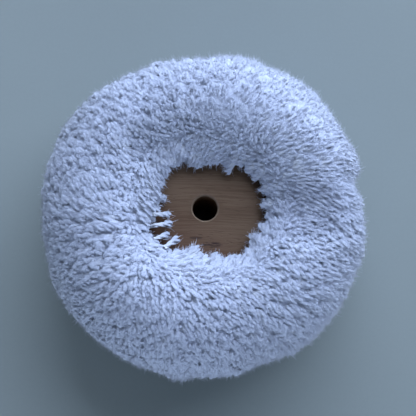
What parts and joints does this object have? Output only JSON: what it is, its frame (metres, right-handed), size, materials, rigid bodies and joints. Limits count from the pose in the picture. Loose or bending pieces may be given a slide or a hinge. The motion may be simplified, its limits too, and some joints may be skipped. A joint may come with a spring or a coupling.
{
  "type": "yarn polishing wheel",
  "caption": "Doughnut-shaped polishing wheel: a turned wooden hub with a plain central bore, and cotton yarn tufts set in rows round its rim.",
  "frame": {"origin": "on the axis of the spindle bore, half-way between the hub's two faces, which is also the middle of the pile", "axes": "+Z runs along the spindle axis, out of the face that looks up when the wheel lies flat; X and Y lie in the plane of the wheel"},
  "size_m": [0.1076, 0.1076, 0.05],
  "materials": {
    "hub": "bare turned hardwood, fine sanded",
    "yarn": "undyed soft-twist cotton yarn, cut ends",
    "anchor": "plain drawn wire"
  },
  "bodies": {
    "root": {"hub": "hub", "front_anchors": "anchor", "back_anchors": "anchor", "front_tuft_01": "yarn", "front_tuft_02": "yarn", "front_tuft_03": "yarn", "front_tuft_04": "yarn", "front_tuft_05": "yarn", "front_tuft_06": "yarn", "front_tuft_07": "yarn", "front_tuft_08": "yarn", "front_tuft_09": "yarn", "front_tuft_10": "yarn", "front_tuft_11": "yarn", "front_tuft_12": "yarn", "front_tuft_13": "yarn", "front_tuft_14": "yarn", "front_mid_tuft_01": "yarn", "front_mid_tuft_02": "yarn", "front_mid_tuft_03": "yarn", "front_mid_tuft_04": "yarn", "front_mid_tuft_05": "yarn", "front_mid_tuft_06": "yarn", "front_mid_tuft_07": "yarn", "front_mid_tuft_08": "yarn", "front_mid_tuft_09": "yarn", "front_mid_tuft_10": "yarn", "front_mid_tuft_11": "yarn", "front_mid_tuft_12": "yarn", "front_mid_tuft_13": "yarn", "front_mid_tuft_14": "yarn", "back_mid_tuft_01": "yarn", "back_mid_tuft_02": "yarn", "back_mid_tuft_03": "yarn", "back_mid_tuft_04": "yarn", "back_mid_tuft_05": "yarn", "back_mid_tuft_06": "yarn", "back_mid_tuft_07": "yarn", "back_mid_tuft_08": "yarn", "back_mid_tuft_09": "yarn", "back_mid_tuft_10": "yarn", "back_mid_tuft_11": "yarn", "back_mid_tuft_12": "yarn", "back_mid_tuft_13": "yarn", "back_mid_tuft_14": "yarn", "back_tuft_01": "yarn", "back_tuft_02": "yarn", "back_tuft_03": "yarn", "back_tuft_04": "yarn", "back_tuft_05": "yarn", "back_tuft_06": "yarn", "back_tuft_07": "yarn", "back_tuft_08": "yarn", "back_tuft_09": "yarn", "back_tuft_10": "yarn", "back_tuft_11": "yarn", "back_tuft_12": "yarn", "back_tuft_13": "yarn", "back_tuft_14": "yarn"}
  },
  "joints": []
}
